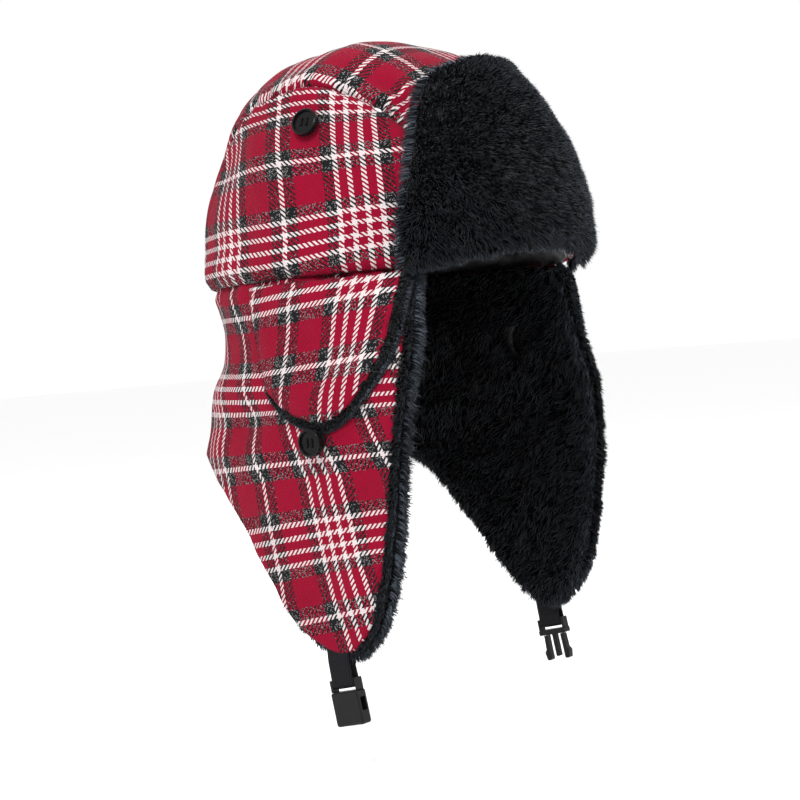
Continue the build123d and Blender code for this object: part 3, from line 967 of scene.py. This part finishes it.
def close_slab(outer, inner, faces):
    """Closed slab from two matching faces: its points, the triangles of both and the quads round the rim."""
    rim = rim_edges(faces)
    a, b = rim[:, 0], rim[:, 1]
    size = len(outer)
    quads = np.stack([b, a, a + size, b + size], 1)
    return np.vstack([outer, inner]), np.vstack([faces, faces[:, ::-1] + size]), quads


pile_outline = flap_outline(4.5, 3.0)
pile_flat, pile_faces = patch(pile_outline, 2.6, [port_ring(PORT_R - 4)])
pile_edge = edge_distance(pile_flat, pile_outline)
pile_outer, pile_inner = pile_body(pile_flat, pile_faces, pile_edge, base=-2.3, plump=4.0, reach=7.0)
pile_faces = outward(pile_outer, pile_faces, INSIDE_FLAPS)
pile_total, pile_tris, pile_rim = close_slab(pile_outer, pile_inner, pile_faces)

# Hair grows on the inside, on what shows outside beyond the wool, and on the rim off the seams and port
pile_centre = pile_flat[pile_faces].mean(1)
bare = ~within(pile_centre, flap_outline(0)) & (pile_centre[:, 0] < 40)
rim_at = pile_total[pile_rim[:, 0]]
off_seams = (rim_at[:, 2] < -3) & (np.abs(rim_at[:, 0]) > 4)
off_port = np.hypot(rim_at[:, 1] - PORT_Y, rim_at[:, 2] - PORT_Z) > PORT_R + 6
fur_count = 50000
flap_surfaces = (
    (pile_faces[:, ::-1] + len(pile_outer), int(fur_count * 0.74), 9.5),
    (pile_faces[bare], int(fur_count * 0.08), 5.5),
    (halves(pile_rim)[np.tile(off_seams & off_port, 2)], int(fur_count * 0.18), 7.0),
)


def add_flap(name, flip):
    """One ear flap with its half of the neck flap; the left one's plaid runs on from the right one's."""
    p = flap_p * flip
    uv = flap_uv
    if flip[0] < 0:
        uv = np.stack([-2 * (BACK_END + 6) / FLAP_REPEAT - flap_uv[:, 0], flap_uv[:, 1]], 1)
    shell = wool_piece(f"flap_shell_{name}", p, outward(p, flap_faces, INSIDE_FLAPS), uv)
    body = pile_total * flip
    base = make_object(f"flap_pelt_{name}", body, [turned(pile_tris, flip), turned(pile_rim, flip)])
    dress(base, pelt)
    width = 0.75
    pile = coat(f"flap_fur_{name}", body, flap_surfaces, flip, width, (0.0, -0.1, -0.55), 0.22, 40)
    dress(pile, fur)
    for piece in (shell, base, pile):
        hang(piece)
    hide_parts(f"ear_flap_shell_{name}")
    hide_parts(f"ear_flap_fur_{name}")
    if name == "right":
        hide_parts("neck_flap_shell")
        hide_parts("neck_flap_fur")


both_sides(add_flap)


# ---------------------------------------------------------------- ear covers
def cover_edge(border):
    """Outline of an ear cover seen from the side: straight top, rounded tip."""
    right = 23 + border / 6
    return spline([
        (right, -3.5), (right - 3.5, -28), (15 + border / 6, -50), (9 + border * 0.4, -62),
        (-5, -71.5 - border * 0.7), (-24, -77 - border * 0.75), (-39, -72 - border * 0.7),
        (-50 - border * 0.8, -60), (-57.5 - border * 0.9, -46), (-61 - border, -34), (-65 - border, -3.5),
    ], 7)


def cover_face(flat, faces, outline, off, puff, reach):
    """Right cover's face, standing off the flap and puffed up between its edges."""
    smooth_p = flap_point(flap_w(flat[:, 0], flat[:, 1]), flat[:, 1])
    full = rounding(edge_distance(flat, outline), reach)
    wave = 0.7 * waves(smooth_p, 21, 40) + 0.25 * waves(smooth_p, 22, 17)
    below_seam = smooth((-3 - flat[:, 1]) / 12)
    lift = off + (puff + wave * below_seam) * full - 2.0 * (1 - below_seam)
    return smooth_p + flap_normal(smooth_p, faces) * lift[:, None]


cover_line = cover_edge(0)
cover_flat, cover_faces = patch(cover_line, 1.7)
cover_p = cover_face(cover_flat, cover_faces, cover_line, off=4.6, puff=2.6, reach=14)
cover_uv = np.stack([
    (-47.5 + (-10 - cover_flat[:, 1]) * 0.18 - cover_flat[:, 0]) / COVER_REPEAT_ROUND,
    (-6 - cover_flat[:, 1] - 0.076 * cover_flat[:, 0]) / COVER_REPEAT_DOWN,
], 1)
fleece_line = cover_edge(4.6)
fleece_flat, fleece_faces = patch(fleece_line, 2.0)
fleece_outer = cover_face(fleece_flat, fleece_faces, fleece_line, off=1.9, puff=1.6, reach=6)
fleece_inner = cover_face(fleece_flat, fleece_faces, fleece_line, off=1.4, puff=0.0, reach=6)
fleece_faces = outward(fleece_outer, fleece_faces, INSIDE_FLAPS)
fleece_total, fleece_tris, fleece_rim = close_slab(fleece_outer, fleece_inner, fleece_faces)
beyond_wool = edge_distance(fleece_flat[fleece_faces].mean(1), fleece_line) < 6.5
below_seam = fleece_total[fleece_rim[:, 0]][:, 2] < -7
fleece_count = 26000
cover_surfaces = (
    (fleece_faces[beyond_wool], int(fleece_count * 0.34), 2.6),
    (halves(fleece_rim)[np.tile(below_seam, 2)], int(fleece_count * 0.26), 3.2),
    (fleece_faces[:, ::-1] + len(fleece_outer), int(fleece_count * 0.4), 1.5),
)


def add_cover(name, flip):
    """One ear cover: wool outside, fleece behind it and beyond its edge."""
    p = cover_p * flip
    shell = wool_piece(f"ear_cover_shell_{name}", p, outward(p, cover_faces, INSIDE_FLAPS), cover_uv)
    body = fleece_total * flip
    base = make_object(f"ear_cover_pelt_{name}", body, [turned(fleece_tris, flip), turned(fleece_rim, flip)])
    dress(base, pelt)
    width = 0.5
    pile = coat(f"ear_cover_fleece_{name}", body, cover_surfaces, flip, width, (0.0, 0.0, -0.2), 0.5, 60)
    dress(pile, fleece)
    for piece in (shell, base, pile):
        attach(piece, f"ear_cover_{name}")
    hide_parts(f"ear_cover_shell_{name}")
    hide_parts(f"ear_cover_lining_{name}")


both_sides(add_cover)


# ---------------------------------------------------------------- front flap
def visor_point(x, z, lift):
    """Point of the front flap at x and z, lifted off the crown."""
    factor = shrink_factor(z)
    inside = factor**2 - (x / SIDE) ** 2
    p = np.stack([x, -FRONT * np.sqrt(np.maximum(inside, 0.002)), z], 1)
    share = 0.2 + 0.8 * smooth((np.abs(x) - 8) / 50)
    return p + crown_normal(p) * (lift - sag(p) * share)[:, None]


def visor_outline(inset):
    """Front view of the front flap: arched below, rounded corners above."""
    half, top = VISOR_HALF - inset * 0.7, VISOR_TOP - inset
    low = inset * 0.6 - 1.5
    arch_x = np.linspace(-half, half, 40)
    arch = np.stack([arch_x, low + VISOR_ARCH * (1 - (arch_x / half) ** 2)], 1)
    right = spline([(half, low), (half - 3, 34), (half - 11, 66), (half - 20, 86),
                    (half - 32, top), (half - 47, top + 5), (0, top + 9)], 8)
    left = right[::-1] * [-1, 1]
    return np.vstack([arch[:-1], right, left[1:-1]])


def visor_layer(outline, back, puff, reach, seed):
    """Closed slab of the front flap, plump in front and thinner towards its top, and its front's faces."""
    flat, faces = patch(outline, 2.6)
    full = rounding(edge_distance(flat, outline), reach)
    seen_flat = np.stack([flat[:, 0], np.zeros(len(flat)), flat[:, 1]], 1)
    thinner = 1 - 0.8 * smooth((flat[:, 1] - 20) / 65)
    uneven = 1 + 0.1 * waves(seen_flat, seed, 46)
    outer = visor_point(flat[:, 0], flat[:, 1], back + 0.8 + puff * full * thinner * uneven)
    inner = visor_point(flat[:, 0], flat[:, 1], np.full(len(flat), back))
    faces = outward(outer, faces, INSIDE_CROWN)
    return (faces, *close_slab(outer, inner, faces))


_, backing_p, backing_tris, backing_rim = visor_layer(visor_outline(4), back=1.4, puff=1.2, reach=3, seed=80)
backing_uv = backing_p[:, [0, 2]] / STRIP_REPEAT
backing = make_object("front_flap_backing_cloth", backing_p, [backing_tris, backing_rim], backing_uv)
dress(backing, plaid)
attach(backing, "front_flap")
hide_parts("front_flap_backing")

visor_line = visor_outline(3)
visor_faces, visor_p, visor_tris, visor_rim = visor_layer(visor_line, back=2.6, puff=3.6, reach=9, seed=81)
visor_pelt = dress(make_object("front_flap_pelt", visor_p, [visor_tris, visor_rim]), pelt)
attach(visor_pelt, "front_flap")
visor_count = 60000
front_roots, front_normals = scatter(visor_p, visor_faces, int(visor_count * 0.93), 82)
rim_roots, rim_normals = scatter(visor_p, halves(visor_rim), int(visor_count * 0.07), 83)
front_lengths = 8.8 - 3.4 * smooth((front_roots[:, 2] - 18) / 60)
visor_roots = np.vstack([front_roots, rim_roots])
visor_normals = np.vstack([front_normals, rim_normals])
visor_lengths = np.concatenate([front_lengths, np.full(len(rim_roots), 7.0)])
visor_width = 0.6
visor_fur = hairs("front_flap_fur_coat", visor_roots, visor_normals, visor_lengths, visor_width,
                  (0.0, 0.0, -0.5), 0.16, 84)
dress(visor_fur, fur)
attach(visor_fur, "front_flap")
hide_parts("front_flap_fur")


# ---------------------------------------------------------------- straps, loops and hard parts
def tangents(path):
    """Directions along a path."""
    return unit(np.gradient(path, axis=0))


def tube_object(name, ring, flipped=False):
    """Closed object from rings of points along a path; flipped where the rings run the other way round."""
    count = ring.shape[1]
    first = np.arange(count)[None]
    last = first + (len(ring) - 1) * count
    caps = [first, last[:, ::-1]] if flipped else [first[:, ::-1], last]
    return make_object(name, ring.reshape(-1, 3), [grid_faces(len(ring), count, wrap=True), *caps])


def ribbon(name, path, half_width, thickness):
    """Flat band along a path in the x and z plane, with rounded edges."""
    across = np.array([0.0, 1.0, 0.0])
    columns = np.linspace(-1, 1, 15)
    edge = np.sqrt(np.maximum(1 - np.abs(columns) ** 6, 0.04))
    middle = path[:, None] + across * (columns * half_width)[None, :, None]
    half = np.cross(tangents(path), across)[:, None] * (thickness / 2 * edge)[None, :, None]
    ring = np.concatenate([middle + half, (middle - half)[:, ::-1]], axis=1)
    return tube_object(name, ring, flipped=True)


def tube(name, path, radius):
    """Round cord along a path."""
    along = tangents(path)
    side = unit(np.cross(along, [1.0, 0.0, 0.0]))
    other = np.cross(along, side)
    a = np.linspace(0, 2 * math.pi, 12, endpoint=False)[None, :, None]
    ring = path[:, None] + radius * (np.cos(a) * side[:, None] + np.sin(a) * other[:, None])
    return tube_object(name, ring)


# Strap: the line it swings about, how far it leans forwards, and its band; then the elastic loop's bend
AXIS_X, AXIS_Z = 94, -201.2
SLANT = math.radians(10)
BAND_RADIUS, BAND_HALF, BAND_THICKNESS = 2.35, 7.5, 1.3
BAR_DEPTH = 12.0
LOOP_RADIUS, LOOP_X, LOOP_Y, LOOP_Z = 4.1, -100.5, -23, -86.5


def add_strap(name, flip):
    """Webbing from inside the flap's tip, round the buckle's bar and back up."""
    arc = np.linspace(0, math.pi, 16)[1:-1]
    out_depth, back_depth = np.linspace(-17, 11.5, 30), np.linspace(11.5, -15, 28)
    depth = np.concatenate([out_depth, BAR_DEPTH + BAND_RADIUS * np.sin(arc), back_depth])
    side = np.concatenate([
        np.interp(out_depth, [-17, -6, 0, BAR_DEPTH], [-0.8, -1.0, -1.9, -BAND_RADIUS]),
        -BAND_RADIUS * np.cos(arc),
        np.interp(back_depth, [-15, -6, 0, BAR_DEPTH], [0.8, 1.0, 1.9, BAND_RADIUS]),
    ])
    path = np.stack([side, np.zeros(len(side)), -depth], 1)
    obj = ribbon(f"strap_webbing_{name}_band", path, BAND_HALF, BAND_THICKNESS)
    place = Matrix.Translation(Vector((-AXIS_X * flip[0], TIP_Y, AXIS_Z)) * MM)
    obj.data.transform(place @ Matrix.Rotation(-SLANT, 4, "X"))
    dress(obj, webbing)
    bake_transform(obj)
    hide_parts(f"strap_webbing_{name}")


both_sides(add_strap)


def add_loop(name, flip):
    """Elastic loop from under the cover's tip round the button's shank."""
    a = np.linspace(math.pi, 2 * math.pi, 20)
    rise = np.linspace(9, 0, 8)[:-1]
    leg = np.full(len(rise), LOOP_RADIUS)
    y = np.concatenate([-leg, LOOP_RADIUS * np.cos(a), leg]) + LOOP_Y
    z = np.concatenate([rise, LOOP_RADIUS * np.sin(a), rise[::-1]]) + LOOP_Z
    path = np.stack([np.full(len(y), LOOP_X), y, z], 1) * flip
    obj = tube(f"ear_cover_loop_{name}_cord", path, 0.8)
    dress(obj, thread)
    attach(obj, f"ear_cover_{name}")
    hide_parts(f"ear_cover_loop_{name}")


both_sides(add_loop)

# The first word found in a CAD node's name gives its finish
FINISHES = (("thread", thread), ("button", glossy), ("buckle", moulded), ("prong", moulded))
for node_name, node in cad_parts.items():
    found = [finish for word, finish in FINISHES if word in node_name]
    if found:
        for slot in node.material_slots:
            slot.material = found[0]


# ---------------------------------------------------------------- stage, light and camera
FLOOR_Z = -262
bpy.ops.mesh.primitive_plane_add(size=30, location=(0, 0, FLOOR_Z * MM))
ground = bpy.context.object
ground.name = "floor"
ground.data.materials.append(floor_material())

world = bpy.data.worlds.new("studio")
bpy.context.scene.world = world
world.use_nodes = True
background = world.node_tree.nodes["Background"]
background.inputs["Color"].default_value = (1, 1, 1, 1)
background.inputs["Strength"].default_value = 1.0
bpy.context.scene.view_settings.view_transform = "Standard"


def area_light(name, place, power, size):
    """Soft light aimed at the middle of the hat."""
    data = bpy.data.lights.new(name, "AREA")
    data.energy, data.size = power, size
    obj = bpy.data.objects.new(name, data)
    obj.location = place
    obj.rotation_euler = (Vector((0, 0, -0.05)) - Vector(place)).to_track_quat("-Z", "Y").to_euler()
    bpy.context.scene.collection.objects.link(obj)


area_light("key", (-1.1, -0.5, 1.0), 22, 0.5)
area_light("front", (0.7, -1.5, 0.5), 14, 0.8)
area_light("rim", (0.9, 0.9, 0.9), 12, 0.6)

# Camera: a metre away, in front and to the wearer's right, a little above and slightly tilted
azimuth, climb, roll = math.radians(-50), math.radians(1.7), math.radians(-4.5)
flat_away = Vector((math.sin(azimuth), -math.cos(azimuth), 0))
away = flat_away * math.cos(climb) + Vector((0, 0, math.sin(climb)))
level = Vector((math.cos(azimuth), math.sin(azimuth), 0))
upright = away.cross(level)
right_axis = level * math.cos(roll) + upright * math.sin(roll)
up_axis = upright * math.cos(roll) - level * math.sin(roll)
aim, distance = Vector((0, 4, -71)) * MM, 1.0
camera_data = bpy.data.cameras.new("camera")
camera_data.lens, camera_data.sensor_width = 78.95, 36
camera = bpy.data.objects.new("camera", camera_data)
pose = Matrix((right_axis, up_axis, away)).transposed().to_4x4()
pose.translation = aim + away * distance
camera.matrix_world = pose
bpy.context.scene.collection.objects.link(camera)
bpy.context.scene.camera = camera

bpy.context.view_layer.update()
